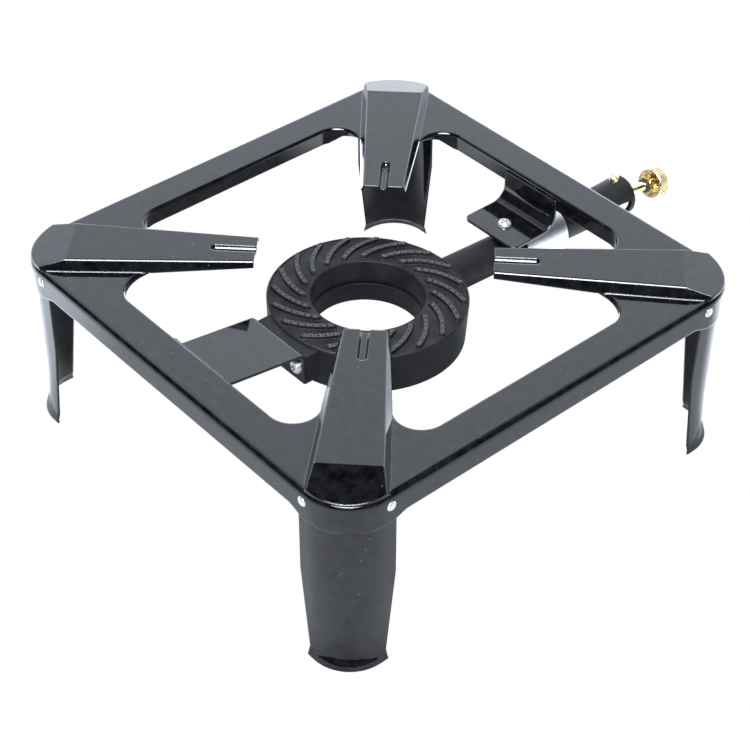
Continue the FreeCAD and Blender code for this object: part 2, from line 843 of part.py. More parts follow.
def build_rear_bracket():
    """From the rear rail's flange down to the tab over the tube's boss."""
    rail = window_half
    web_top = rail_top - size("rear_web_top_gap")
    front = boss_y - size("rear_tab_overhang")
    low = tab_top - gauge
    corners = [(rail, web_top), (rail - gauge, web_top), (rail - gauge, tab_top),
               (front, tab_top), (front, low), (rail, low)]
    bend = size("rear_bend_radius")
    body = bent_strip("rear_bracket_blank", corners, size("rear_bracket_width"),
                      [(corners[2], bend), (corners[5], bend + gauge)])
    bent = body.Tip
    names = ["Edge%d" % (index + 1) for index, edge in enumerate(bent.Shape.Edges)
             if edge.BoundBox.XLength < 1e-6 and edge.BoundBox.YLength < 1e-6
             and abs(edge.CenterOfMass.y - float(front)) < 1e-4]
    corners = body.newObject("PartDesign::Fillet", "rear_bracket_corners")
    corners.Base = (bent, names)
    bind(corners, Radius=size("bracket_corner_radius"))
    body.Tip = corners
    place(body, 0, 0, 0)
    hole = cylinder("rear_bracket_hole", (size("screw_diameter") + size("thread_clearance")) / 2,
                    gauge * 3)
    place(hole, 0, boss_y, low - gauge)
    return cut("rear_bracket", body, [hole])


# ---------------------------------------------------------------- screws

def pan_screw(name, diameter, head_diameter, head_height, length):
    """A pan head screw along -Z with its head's seat at zero and a cross recess."""
    shank, head = diameter / 2, head_diameter / 2
    blank = turned(name + "_blank", [
        (0, -length), (shank * 0.8, -length), (shank, -length + shank * 0.4), (shank, 0),
        (head, 0), (head, head_height * 0.45), (head * 0.82, head_height * 0.85),
        (head * 0.55, head_height), (0, head_height)])
    bars = []
    for turn in (0, 90):
        bar = block(name + "_recess", size("recess_length"), size("recess_width"),
                    size("recess_depth") + PAST)
        bar.Placement = Placement(
            Rotation(Vector(0, 0, 1), turn).multVec(
                Vector(-float(size("recess_length")) / 2, -float(size("recess_width")) / 2, 0))
            + Vector(0, 0, float(head_height - size("recess_depth"))),
            Rotation(Vector(0, 0, 1), turn))
        bars.append(bar)
    return cut(name, blank, bars)


def copies(name, master, placements):
    """Several copies of one fastener as one node."""
    document.recompute()
    shapes = []
    for spot in placements:
        shape = master.Shape.copy()
        shape.Placement = spot
        shapes.append(shape)
    return place(feature(name, Part.makeCompound(shapes)), 0, 0, 0)


def build_screws():
    screw = size("screw_diameter")
    head = size("screw_head_diameter")
    rise = size("screw_head_height")
    front = pan_screw("front_screw", screw, head, rise, size("front_screw_length"))
    towards_front = Rotation(Vector(1, 0, 0), 90)
    places = [Placement(Vector(float(size("front_screw_spacing")) / 2 * side,
                               float(lug_face - gauge), float(front_screw_level)), towards_front)
              for side in (-1, 1)]
    front_screws = copies("front_bracket_screws", front, places)
    rear = pan_screw("rear_bracket_screw", screw, head, rise, size("rear_screw_length"))
    place(rear, 0, boss_y, tab_top)
    return [front_screws, rear]


# ---------------------------------------------------------------- burner body

def ring_profile():
    """Bowl of the burner: floor, outer wall with the cap's seat, inner wall up to the seam."""
    outer, base = size("ring_radius"), size("ring_radius") - size("ring_draft")
    inner, wall = size("hole_radius"), size("ring_wall")
    seat = outer - size("cap_edge")
    ledge = size("ring_height") - size("cap_thickness")
    turn, chamfer = size("ring_bottom_round"), size("ring_chamfer")
    return [(inner, -size("hole_lip")), (inner + wall, -size("hole_lip")), (inner + wall, 0),
            (base - turn, 0), (base, turn), (outer, size("ring_height") - chamfer),
            (outer - chamfer, size("ring_height")), (seat, size("ring_height")), (seat, ledge),
            (outer - wall, ledge), (outer - wall, size("ring_floor")),
            (inner + wall, size("ring_floor")), (inner + wall, size("seam_height")),
            (inner, size("seam_height"))]


def channel_profile():
    """The gas channel of the ring and the cap's seat above it, open at the top."""
    inner = size("hole_radius") + size("ring_wall")
    outer = size("ring_radius") - size("ring_wall")
    seat = size("ring_radius") - size("cap_edge")
    ledge = size("ring_height") - size("cap_thickness")
    above = size("ring_height") + PAST
    return [(inner, size("ring_floor")), (outer, size("ring_floor")), (outer, ledge),
            (seat, ledge), (seat, above), (inner, above)]


def tube_profile(inset, start):
    """The mixer tube about its own axis, its bore when inset."""
    end = size("tube_length")
    throat_end = end - size("bell_length")
    straight_end = throat_end - size("bell_throat_length")
    return [(0, start), (size("tube_radius") - inset, start),
            (size("tube_radius") - inset, straight_end),
            (size("bell_throat_radius") - inset, throat_end),
            (size("bell_radius") - inset, end), (0, end)]


def cap_screw_places():
    """Cap screw positions about the ring's centre, clear of the mixer tube."""
    circle = float(size("pillar_circle"))
    spots = []
    for index in range(CAP_SCREW_COUNT):
        angle = math.radians(360 / CAP_SCREW_COUNT * index - 90)
        spots.append((circle * math.cos(angle), circle * math.sin(angle)))
    return spots


def build_burner_body():
    ring = in_burner(turned("bowl", ring_profile()), 0, 0)
    tube_start = size("hole_radius") + size("ring_wall") * 2
    tube = turned("mixer_tube", tube_profile(0, tube_start))
    on_tube(tube, 0)
    lug = block("front_lug", size("lug_width"), size("lug_reach") + size("lug_root"),
                size("lug_height"))
    lug_low = size("burner_height") + size("lug_bottom")
    place(lug, -size("lug_width") / 2, lug_face, lug_low)
    boss = cylinder("tube_boss", size("boss_radius"), tab_top - gauge - boss_axis)
    place(boss, 0, boss_y, boss_axis)
    fins = []
    fin_reach = size("sleeve_radius") - size("sleeve_thickness") - size("sleeve_fit")
    for index in range(FIN_COUNT):
        fin = block("tube_fin", fin_reach, size("fin_thickness"), size("fin_length"))
        local = Placement(Vector(), Rotation(Vector(0, 0, 1), 45 + 90 * index)).multiply(
            Placement(Vector(0, -float(size("fin_thickness")) / 2, 0), Rotation()))
        y, z = tube_point(sleeve_start - size("fin_lead"))
        spot = Placement(Vector(0, float(y - centre_shift), float(z)),
                         Rotation(Vector(-1, 0, 0), 90 + float(tube_tilt)))
        fin.Placement = spot.multiply(local)
        fins.append(fin)
    bulk = fused("burner_bulk", [ring, tube, lug, boss] + fins)

    channel = in_burner(turned("gas_channel", channel_profile()), 0, 0)
    bore = turned("tube_bore", tube_profile(size("tube_wall"), tube_start))
    on_tube(bore, 0)
    hollow = cut("burner_hollow", bulk, [channel, bore])

    bridge_start = size("tube_length") - size("bridge_inset") - size("bridge_length")
    bridge_half = size("bell_throat_radius") - size("tube_wall") / 2
    bridge = block("inlet_bridge", size("bridge_width"), size("bridge_length"), bridge_half * 2)
    above_tube(bridge, bridge_start, -bridge_half, -size("bridge_width") / 2)
    casting = fused("burner_casting", [hollow, bridge])

    tools = []
    clearance, extra = size("thread_clearance"), size("drill_extra")
    stem_hole = cylinder("stem_hole", (size("stem_diameter") + clearance) / 2,
                         size("stem_back") + size("inlet_pivot_inset") * 2)
    tools.append(on_inlet(stem_hole, -size("stem_back")))
    lock_hole = cylinder("lock_hole", (size("lock_screw_diameter") + clearance) / 2,
                         size("bell_radius") + PAST)
    tools.append(above_tube(lock_hole, lock_position))
    air_start = size("tube_length") - size("air_window_inset") - size("air_window_length")
    air_reach = size("bell_radius") + PAST
    air_side = size("bridge_width") / 2 + size("air_window_gap")
    for side, x in ((-1, -air_side - air_reach), (1, air_side)):
        opening = block("air_window", air_reach, size("air_window_length"),
                        size("air_window_height"))
        tools.append(above_tube(opening, air_start, -size("air_window_drop"), x))
        drill = cylinder("lug_hole", (size("screw_diameter") + clearance) / 2,
                         size("front_screw_length") - gauge + extra)
        tools.append(place(drill, size("front_screw_spacing") / 2 * side, lug_face,
                           front_screw_level, 90))
    boss_hole = cylinder("boss_hole", (size("screw_diameter") + clearance) / 2,
                         size("rear_screw_length"))
    tools.append(place(boss_hole, 0, boss_y, tab_top - size("rear_screw_length") - extra))
    for x, along in cap_screw_places():
        hole = cylinder("cap_screw_hole", (size("cap_screw_diameter") + clearance) / 2,
                        size("ring_floor") + 2 * PAST)
        tools.append(in_burner(hole, along, -PAST, x))
    return cut("burner_body", casting, tools)


# ---------------------------------------------------------------- burner cap

def rib_path(share):
    """A point on a rib's middle line, from the hole outwards, curling clockwise."""
    inner = float(size("rib_inner_radius") + size("rib_width") / 2)
    outer = float(size("rib_outer_radius") - size("rib_width") / 2)
    radius = inner + (outer - inner) * share
    angle = -math.radians(float(size("rib_sweep"))) * share
    return Vector(radius * math.cos(angle), radius * math.sin(angle), 0)


def rib_shape():
    """One raised rib: a curved bar with round ends and chamfered top edges."""
    start, middle, end = rib_path(0), rib_path(0.5), rib_path(1)
    half = float(size("rib_width")) / 2
    centre = Part.Arc(start, middle, end).toShape().Curve.Center

    def offset(point, amount):
        return point + (point - centre).normalize() * amount

    def beyond(point):
        radial = (point - centre).normalize()
        tangential = Vector(-radial.y, radial.x, 0) * half
        return point + tangential * math.copysign(1, tangential.dot(point - middle))

    edges = [Part.Arc(offset(start, half), offset(middle, half), offset(end, half)).toShape(),
             Part.Arc(offset(end, half), beyond(end), offset(end, -half)).toShape(),
             Part.Arc(offset(end, -half), offset(middle, -half), offset(start, -half)).toShape(),
             Part.Arc(offset(start, -half), beyond(start), offset(start, half)).toShape()]
    height = float(size("rib_height"))
    root = float(size("cap_thickness")) / 5
    bar = Part.Face(Part.Wire(edges)).extrude(Vector(0, 0, height + root))
    bar.translate(Vector(0, 0, float(size("ring_height")) - root))
    top = flat_edges(bar, float(size("ring_height")) + height)
    return bar.makeChamfer(float(size("rib_chamfer")), top)


def build_burner_cap():
    """Ring plate with its inner skirt, screw pillars, curved ribs and gas ports."""
    top, low = size("ring_height"), size("ring_height") - size("cap_thickness")
    hole, seam = size("cap_hole_radius"), size("seam_height")
    skirt = size("hole_radius") + size("cap_skirt_thickness")
    outer = size("ring_radius") - size("cap_edge") - size("cap_fit")
    blank = turned("cap_blank", [
        (hole, top), (outer, top), (outer, low), (skirt, low), (skirt, seam),
        (size("hole_radius") + size("cap_seam_step"), seam),
        (hole - size("cap_lip_lean"), top - size("cap_lip_height"))])
    document.recompute()
    plate = blank.Shape
    pillar_foot = float(size("ring_floor"))
    pillars = [Part.makeCylinder(float(size("pillar_radius")), float(low) + PAST - pillar_foot,
                                 Vector(x, y, pillar_foot)) for x, y in cap_screw_places()]
    rib = rib_shape()
    ribs, ports = [], []
    depth = float(size("cap_thickness") + size("rib_height")) + 2 * PAST
    for index in range(RIB_COUNT):
        turn = 360 / RIB_COUNT * index
        copy = rib.copy()
        copy.rotate(Vector(), Vector(0, 0, 1), turn)
        ribs.append(copy)
        for port in range(PORTS_PER_RIB):
            spot = rib_path(port / (PORTS_PER_RIB - 1))
            spot = Rotation(Vector(0, 0, 1), turn).multVec(spot)
            ports.append(Part.makeCylinder(float(size("port_diameter")) / 2, depth,
                                           spot + Vector(0, 0, float(low) - PAST)))
    screw = float(size("cap_screw_diameter") + size("thread_clearance")) / 2
    drill = float(size("cap_screw_length") + size("drill_extra"))
    drills = [Part.makeCylinder(screw, drill, Vector(x, y, 0)) for x, y in cap_screw_places()]
    shape = plate.fuse(pillars + ribs).cut(ports + drills)
    return in_burner(feature("burner_cap", shape), 0, 0)


def build_cap_screws():
    """Screws from below, through the burner's floor into the cap's pillars."""
    screw = pan_screw("cap_screw", size("cap_screw_diameter"), size("cap_screw_head_diameter"),
                      size("cap_screw_head_height"), size("cap_screw_length"))
    document.recompute()
    shapes = []
    for x, y in cap_screw_places():
        shape = screw.Shape.copy()
        shape.Placement = Placement(Vector(x, y, 0), Rotation(Vector(1, 0, 0), 180))
        shapes.append(shape)
    return in_burner(feature("cap_screws", Part.makeCompound(shapes)), 0, 0)


# ---------------------------------------------------------------- sleeve and inlet

def build_sleeve():
    outer = size("sleeve_radius")
    sleeve = turned("tube_sleeve", ring_corners(outer - size("sleeve_thickness"), outer,
                                                0, size("sleeve_length")))
    return on_tube(sleeve, sleeve_start)


def build_stem():
    """Brass pipe from the jet inside the bell to the inlet hexagon."""
    bore = size("gas_bore") / 2
    stem = turned("inlet_stem", ring_corners(bore, size("stem_diameter") / 2,
                                             -size("stem_back"), hex_start + size("stem_thread")))
    return on_inlet(stem, 0)


def build_jet():
    """Jet screwed on the stem's inner end, with its fine hole."""
    hole, outer = size("jet_bore") / 2, size("jet_diameter") / 2
    length = size("jet_length")
    jet = turned("gas_jet", [(hole, 0), (outer * 0.45, 0), (outer, length * 0.5),
                             (outer, length), (hole, length)])
    return on_inlet(jet, -size("stem_back") - length)


def build_stem_washer():
    inner = (size("stem_diameter") + size("thread_clearance")) / 2
    washer = turned("stem_washer", ring_corners(inner, size("stem_washer_diameter") / 2,
                                                0, size("stem_washer_thickness")))
    return on_inlet(washer, hex_start - size("stem_washer_thickness"))


def build_inlet_hex():
    """Hexagon that joins the stem's thread to the nipple's neck."""
    corner = size("inlet_hex_flats") / 2 / cosine(Size(30))
    length = size("inlet_hex_length")
    hexagon = document.addObject("Part::Prism", "hex_bar")
    hexagon.Polygon = 6
    bind(hexagon, Circumradius=corner, Height=length)
    rounding = turned("hex_rounding", [
        (0, 0), (corner * 0.93, 0), (corner, corner * 0.05), (corner, length - corner * 0.05),
        (corner * 0.93, length), (0, length)])
    clearance = size("thread_clearance") / 2
    stem_bore = cylinder("hex_stem_bore", size("stem_diameter") / 2 + clearance,
                         length + 2 * PAST)
    stem_bore.Placement = Placement(Vector(0, 0, -PAST), Rotation())
    neck_bore = cylinder("hex_neck_bore", size("nipple_radius") + clearance, length)
    neck_bore.Placement = Placement(Vector(0, 0, float(size("stem_thread"))), Rotation())
    neck_bore.setExpression("Placement.Base.z", size("stem_thread").formula)
    chamfered = document.addObject("Part::Common", "hex_chamfered")
    chamfered.Base = hexagon
    chamfered.Tool = rounding
    return on_inlet(cut("inlet_hex", chamfered, [stem_bore, neck_bore]), hex_start)


def build_nipple():
    """Neck and flange that the union nut draws against its seal."""
    bore, neck = size("gas_bore") / 2, size("nipple_radius")
    flange = size("nipple_flange_radius")
    start, face = neck_start, nipple_face
    back = face - size("nipple_flange_thickness")
    nipple = turned("inlet_nipple", [(bore, start), (neck, start), (neck, back), (flange, back),
                                     (flange, face), (bore, face)])
    return on_inlet(nipple, 0)


def build_union_seal():
    seal = turned("union_seal", ring_corners(size("nipple_radius"), size("nipple_flange_radius"),
                                             0, size("seal_thickness")))
    return on_inlet(seal, nipple_face)


def build_union_nut():
    """Knurled cup that spins on the nipple's neck, recessed towards the burner."""
    outer = size("union_radius")
    inner = outer - size("union_rim")
    neck = size("nipple_radius") + size("union_gap")
    floor = size("union_recess")
    roof = floor + size("union_floor")
    end, chamfer = size("union_length"), size("union_chamfer")
    nut = turned("union_nut_blank", [
        (neck, floor), (inner, floor), (inner, 0), (outer - chamfer, 0), (outer, chamfer),
        (outer, end - chamfer), (outer - chamfer, end), (inner, end), (inner, roof),
        (neck, roof)])
    document.recompute()
    knurl = float(size("knurl_radius"))
    count = int(float(size("union_knurls")))
    notches = []
    for index in range(count):
        turn = Rotation(Vector(0, 0, 1), 360 / count * index)
        spot = turn.multVec(Vector(float(outer) + knurl * 0.3, 0, -PAST))
        notches.append(Part.makeCylinder(knurl, float(end) + 2 * PAST, spot))
    return on_inlet(feature("union_nut", nut.Shape.cut(notches)), union_start)


def build_lock_screw():
    """Slotted brass screw on top of the bell that clamps the stem in the bridge."""
    shank = size("lock_screw_diameter") / 2
    head = size("lock_screw_head_diameter") / 2
    spread = (size("bell_radius") - size("bell_throat_radius")) / size("bell_length")
    surface = size("bell_radius") - spread * (size("tube_length") - lock_position)
    seat = surface + size("lock_screw_stand")
    stem_top = ((inlet_pivot - lock_position) * tangent(size("inlet_droop"))
                + size("stem_diameter") / 2 / cosine(size("inlet_droop")))
    tip = stem_top + size("lock_screw_tip_gap")
    top = seat + size("lock_screw_head_height")
    chamfer = size("lock_screw_chamfer")
    blank = turned("lock_screw_blank", [
        (0, tip), (shank * 0.4, tip), (shank, tip + shank), (shank, seat), (head, seat),
        (head, top - chamfer), (head - chamfer, top), (0, top)])
    slot = block("lock_screw_slot", (head + PAST) * 2, size("slot_width"),
                 size("slot_depth") + PAST)
    slot.Placement = Placement(Vector(-float(head) - PAST, -float(size("slot_width")) / 2,
                                      float(top - size("slot_depth"))), Rotation())
    screw = cut("lock_screw", blank, [slot])
    return above_tube(screw, lock_position)


def build_all():
    pieces = [build_top_frame()]
    pieces += build_legs()
    pieces.append(build_rivets())
    pieces.append(build_front_bracket())
    pieces.append(build_rear_bracket())
    pieces += build_screws()
    pieces.append(build_burner_body())
    pieces.append(build_burner_cap())
    pieces.append(build_cap_screws())
    pieces.append(build_sleeve())
    pieces.append(build_stem())
    pieces.append(build_jet())
    pieces.append(build_stem_washer())
    pieces.append(build_inlet_hex())
    pieces.append(build_nipple())
    pieces.append(build_union_seal())
    pieces.append(build_union_nut())
    pieces.append(build_lock_screw())
    return pieces


def check_and_write(pieces):
    """Refuses failed objects and shapes before any file is written."""
    document.recompute()
    for item in document.Objects:
        if "Invalid" in item.State or "Error" in item.State:
            raise RuntimeError("%s failed: %s" % (item.Label, item.State))
    for piece in pieces:
        if piece.Shape.isNull() or not piece.Shape.isValid():
            raise RuntimeError("%s has no valid shape" % piece.Label)
    os.makedirs("parts", exist_ok=True)
    for piece in pieces:
        piece.Shape.exportStep("parts/%s.step" % piece.Label)
        print("%-24s %2d solids %10.1f mm3" % (piece.Label, len(piece.Shape.Solids),
                                               piece.Shape.Volume))


check_and_write(build_all())
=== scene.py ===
"""Looks of a free-standing square stock pot range: enamelled pressed frame, cast ring burner,
galvanised sleeve and brass gas inlet. All lengths are metres in the CAD model's frame."""
import math

import bmesh
import bpy
import numpy as np
from bpy.props import FloatProperty, FloatVectorProperty, IntProperty, PointerProperty
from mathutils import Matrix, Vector


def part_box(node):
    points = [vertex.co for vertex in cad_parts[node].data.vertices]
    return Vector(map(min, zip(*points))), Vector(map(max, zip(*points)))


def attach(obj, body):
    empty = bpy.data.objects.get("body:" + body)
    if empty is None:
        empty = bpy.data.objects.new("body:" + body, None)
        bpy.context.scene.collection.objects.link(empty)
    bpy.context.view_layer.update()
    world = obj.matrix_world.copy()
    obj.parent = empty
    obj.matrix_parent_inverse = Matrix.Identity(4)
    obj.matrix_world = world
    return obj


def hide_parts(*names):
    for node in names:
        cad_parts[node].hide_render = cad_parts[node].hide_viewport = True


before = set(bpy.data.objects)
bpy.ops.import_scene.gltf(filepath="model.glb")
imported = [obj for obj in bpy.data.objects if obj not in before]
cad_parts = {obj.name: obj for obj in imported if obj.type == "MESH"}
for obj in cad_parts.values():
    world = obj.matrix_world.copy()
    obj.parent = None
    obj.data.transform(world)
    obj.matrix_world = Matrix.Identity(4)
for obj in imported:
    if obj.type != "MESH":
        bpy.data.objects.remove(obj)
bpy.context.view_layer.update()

bl_info = {
    "name": "Stock Pot Range",
    "version": (1, 0, 0),
    "blender": (4, 5, 0),
    "location": "View3D > Sidebar > Range",
    "description": "Builds the finished surfaces of a square stock pot range",
    "category": "Add Mesh",
}

MM = 0.001


def middle_of(node):
    low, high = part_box(node)
    return (low + high) / 2


# The frame is symmetrical, so the middle of its box is the middle of the object's square.
FRAME_MIDDLE_Y = middle_of("top_frame").y


# ---------------------------------------------------------------- sizes and colours

def colour(name, default, description):
    return FloatVectorProperty(name=name, description=description, subtype="COLOR", size=3,
                               min=0.0, max=1.0, default=default)


def length(name, default, description):
    return FloatProperty(name=name, description=description, unit="LENGTH", default=default)


class EnamelSettings(bpy.types.PropertyGroup):
    """Colours of the enamelled sheet."""
    base: colour("Enamel", (0.0085, 0.0090, 0.0108), "Enamel seen straight on")
    speck: colour("Specks", (0.42, 0.43, 0.45), "Fine pale specks in the enamel")
    gloss: FloatProperty(name="Roughness", description="Roughness of the gloss enamel",
                         subtype="FACTOR", default=0.07, min=0.0, max=1.0)
    edge_radius: length("Edge softening", 0.0016, "Radius over which sharp edges are softened")


class CastingSettings(bpy.types.PropertyGroup):
    """Colours and relief of the cast ring burner."""
    base: colour("Casting", (0.010, 0.0103, 0.012), "Paint on the casting")
    rubbed: colour("Rubbed ribs", (0.19, 0.195, 0.21), "Paint rubbed thin on the ribs' tops")
    # Painted shade: black painted into the ports and along the ribs' flanks, where shade falls.
    painted_shade: colour("Painted shade", (0.0015, 0.0015, 0.0015), "Black in the ports and beside the ribs")
    grain: length("Grain", 0.00012, "Height of the sand casting's grain")
    rib_count: IntProperty(name="Ribs", description="Ribs round the burner ring", default=20,
                           min=6, max=40)
    ports: IntProperty(name="Ports", description="Gas ports along each rib", default=8, min=2,
                       max=14)


class MetalSettings(bpy.types.PropertyGroup):
    """Colours of the bare and plated metals."""
    zinc: colour("Zinc", (0.90, 0.90, 0.92), "Plated screws and rivets")
    sleeve: colour("Sleeve", (0.86, 0.87, 0.89), "Galvanised heat sleeve")
    brass: colour("Brass", (0.88, 0.72, 0.42), "Turned brass")
    tarnish: colour("Tarnish", (0.45, 0.28, 0.09), "Brass where it has darkened")
    washer: colour("Washer", (0.03, 0.03, 0.03), "Dark washer")
    seal: colour("Seal", (0.28, 0.20, 0.14), "Fibre seal inside the union")


class StageSettings(bpy.types.PropertyGroup):
    """Camera, lamps and floor."""
    eye: FloatVectorProperty(name="Eye", description="Camera place from the frame's middle",
                             subtype="TRANSLATION", unit="LENGTH",
                             default=(0.85067, -0.73348, 1.00002))
    gaze: FloatVectorProperty(name="Gaze", description="Direction the camera looks in",
                              subtype="DIRECTION", default=(-0.57640, 0.49718, -0.64852))
    focal: FloatProperty(name="Lens", description="Focal length on a 36 mm sensor",
                         unit="CAMERA", default=88.08, min=10.0)
    daylight: FloatProperty(name="Room light", description="Plain light from all round",
                            default=0.62, min=0.0)
    lamp_power: FloatProperty(name="Lamp", description="Power of the high front lamp in watts",
                              unit="POWER", default=20.0, min=0.0)
    floor_size: length("Floor", 8.0, "Side of the pale floor")


def settings():
    return bpy.context.scene.pot_range


class RangeSettings(bpy.types.PropertyGroup):
    """Everything that a user would change."""
    enamel: PointerProperty(type=EnamelSettings)
    casting: PointerProperty(type=CastingSettings)
    metal: PointerProperty(type=MetalSettings)
    stage: PointerProperty(type=StageSettings)


# ---------------------------------------------------------------- shader maths

# Places of the mix node's colour sockets among its inputs and outputs.
MIX_FIRST, MIX_SECOND, MIX_COLOUR = 6, 7, 2


class Value:
    """A shader socket that takes Python's arithmetic."""

    def __init__(self, finish, socket):
        self.finish = finish
        self.socket = socket

    def maths(self, operation, *inputs):
        return self.finish.node("ShaderNodeMath", {"operation": operation},
                                dict(enumerate(inputs)))["Value"]

    def __add__(self, other):
        return self.maths("ADD", self, other)

    def __sub__(self, other):
        return self.maths("SUBTRACT", self, other)

    def __rsub__(self, other):
        return self.maths("SUBTRACT", other, self)

    def __mul__(self, other):
        return self.maths("MULTIPLY", self, other)

    def __truediv__(self, other):
        return self.maths("DIVIDE", self, other)

    def __pow__(self, other):
        return self.maths("POWER", self, other)

    __radd__ = __add__
    __rmul__ = __mul__

    def clamped(self):
        return self.maths("MINIMUM", self.maths("MAXIMUM", self, 0.0), 1.0)

    def rises(self, low, high):
        """0 below low, 1 above high, smooth between."""
        return self.finish.node("ShaderNodeMapRange", {"interpolation_type": "SMOOTHSTEP"},
                                {"Value": self, "From Min": low, "From Max": high})["Result"]


class Outputs:
    """A node whose outputs are read by name."""

    def __init__(self, finish, node):
        self.finish = finish
        self.made = node

    def __getitem__(self, name):
        return Value(self.finish, self.made.outputs[name])


class Finish:
    """A node tree under construction, of a material or the world."""

    def __init__(self, owner):
        owner.use_nodes = True
        self.owner = owner
        self.tree = owner.node_tree
        self.tree.nodes.clear()

    def node(self, kind, values=None, inputs=None):
        """Adds a node: its settings first, then its sockets' values or links."""
        made = self.tree.nodes.new(kind)
        for name, value in (values or {}).items():
            setattr(made, name, value)
        for name, value in (inputs or {}).items():
            socket = made.inputs[name]
            if isinstance(value, Value):
                self.tree.links.new(value.socket, socket)
            else:
                socket.default_value = value
        return Outputs(self, made)

    def place(self):
        return self.node("ShaderNodeTexCoord")["Object"]

    @staticmethod
    def graded(value, levels):
        """Levels at rising positions of a value, joined by smooth steps."""
        total = levels[0][1]
        for (low, first), (high, second) in zip(levels, levels[1:]):
            if first != second:
                total = value.rises(low, high) * (second - first) + total
        return total

    def noise(self, scale, detail=2.0, roughness=0.5):
        return self.node("ShaderNodeTexNoise", None,
                         {"Vector": self.place(), "Scale": scale, "Detail": detail,
                          "Roughness": roughness})["Fac"]

    def cells(self, scale):
        """Distance to the nearest of many scattered points."""
        return self.node("ShaderNodeTexVoronoi", None,
                         {"Vector": self.place(), "Scale": scale})["Distance"]

    def attribute(self, name):
        return self.node("ShaderNodeAttribute", {"attribute_name": name})["Fac"]

    def blend(self, factor, first, second):
        """Mixes two colours by a factor."""
        mixed = self.node("ShaderNodeMix", {"data_type": "RGBA"}, {0: factor})
        for index, shade in ((MIX_FIRST, first), (MIX_SECOND, second)):
            socket = mixed.made.inputs[index]
            if isinstance(shade, Value):
                self.tree.links.new(shade.socket, socket)
            else:
                socket.default_value = (*shade, 1.0)
        return Value(self, mixed.made.outputs[MIX_COLOUR])

    def bump(self, height, distance, strength, normal=None):
        inputs = {"Height": height, "Distance": distance, "Strength": strength}
        if normal is not None:
            inputs["Normal"] = normal
        return self.node("ShaderNodeBump", None, inputs)["Normal"]

    def soft_edges(self, radius, samples=6):
        return self.node("ShaderNodeBevel", {"samples": samples}, {"Radius": radius})["Normal"]

    def surface(self, **inputs):
        named = {key.replace("_", " "): value for key, value in inputs.items()}
        shader = self.node("ShaderNodeBsdfPrincipled", None, named)["BSDF"]
        self.node("ShaderNodeOutputMaterial", None, {"Surface": shader})
        return self.owner


def new_finish(name):
    return Finish(bpy.data.materials.new(name))


# ---------------------------------------------------------------- materials

# Height of the fine unevenness in the enamel, the plating and the brass.
FINE_RELIEF = 0.02 * MM


def scaled(shade, factor):
    """A colour made darker or lighter by a factor."""
    return tuple(factor * part for part in shade)


def sand_grain(finish):
    """The fine grain of a sand casting, from 0 to 1."""
    return finish.noise(scale=900.0, detail=4.0, roughness=0.62)


def enamel_material():
    """Gloss black enamel: faint mottling, sparse fine pale specks, a slight ripple."""
    chosen = settings().enamel
    finish = new_finish("black_enamel")
    mottle = finish.noise(scale=110.0, detail=5.0, roughness=0.6)
    specks = 1.0 - finish.cells(scale=230.0).rises(0.07, 0.13)
    sparse = finish.noise(scale=95.0, detail=1.0).rises(0.60, 0.64)
    base = finish.blend(mottle.rises(0.3, 0.7), scaled(chosen.base, 0.3),
                        scaled(chosen.base, 1.7))
    shade = finish.blend(specks * sparse * 0.5, base, chosen.speck)
    ripple = finish.noise(scale=90.0, detail=1.0)
    soft = finish.soft_edges(chosen.edge_radius, samples=8)
    normal = finish.bump(ripple, FINE_RELIEF, strength=0.2, normal=soft)
    return finish.surface(Base_Color=shade, Roughness=mottle * 0.04 + (chosen.gloss - 0.02),
                          Normal=normal)


def casting_material():
    """Painted sand casting: pitted grain and faint patches of pale dust."""
    chosen = settings().casting
    finish = new_finish("painted_casting")
    grain = sand_grain(finish)
    lumps = finish.noise(scale=240.0, detail=2.0)
    pits = finish.cells(scale=700.0).rises(0.0, 0.35)
    dust = (finish.noise(scale=60.0, detail=4.0).rises(0.45, 0.75) * grain.rises(0.4, 0.6)) * 0.10
    shade = finish.blend(dust, chosen.base, chosen.rubbed)
    height = grain * 0.6 + lumps * 0.8 + pits * 0.4
    soft = finish.soft_edges(radius=0.8 * MM)
    return finish.surface(Base_Color=shade, Roughness=grain * 0.25 + 0.42,
                          Specular_IOR_Level=0.22,
                          Normal=finish.bump(height, chosen.grain, strength=0.8, normal=soft))


def crown_material():
    """The ring's top: the same paint, paler on the ribs' rubbed tops and the ports' collars, with
    painted shade: black in the ports and along the ribs' flanks."""
    chosen = settings().casting
    finish = new_finish("painted_crown")
    proud = finish.attribute("proud")
    port = finish.attribute("port")
    collar = finish.attribute("collar")
    grain = sand_grain(finish)
    lumps = finish.noise(scale=260.0, detail=2.0)
    dust = finish.noise(scale=60.0, detail=4.0).rises(0.35, 0.75) * 0.12
    rubbed = (proud.rises(0.8, 1.0) * 0.45 + collar * 0.9) * (grain * 0.9 + 0.35).clamped()
    # Painted shade along the ribs' flanks, between their proud tops and the ring.
    flank = proud.rises(0.02, 0.25) * (1.0 - proud.rises(0.65, 0.9))
    between = finish.blend(dust, chosen.base, chosen.rubbed)
    shade = finish.blend(rubbed.clamped(), between, chosen.rubbed)
    # Painted shade: the ports and the ribs' flanks are painted black.
    shade = finish.blend((port + flank).clamped(), shade, chosen.painted_shade)
    normal = finish.bump(grain * 0.6 + lumps, chosen.grain, strength=0.7)
    return finish.surface(Base_Color=shade, Roughness=grain * 0.25 + 0.40,
                          Specular_IOR_Level=0.15, Normal=normal)


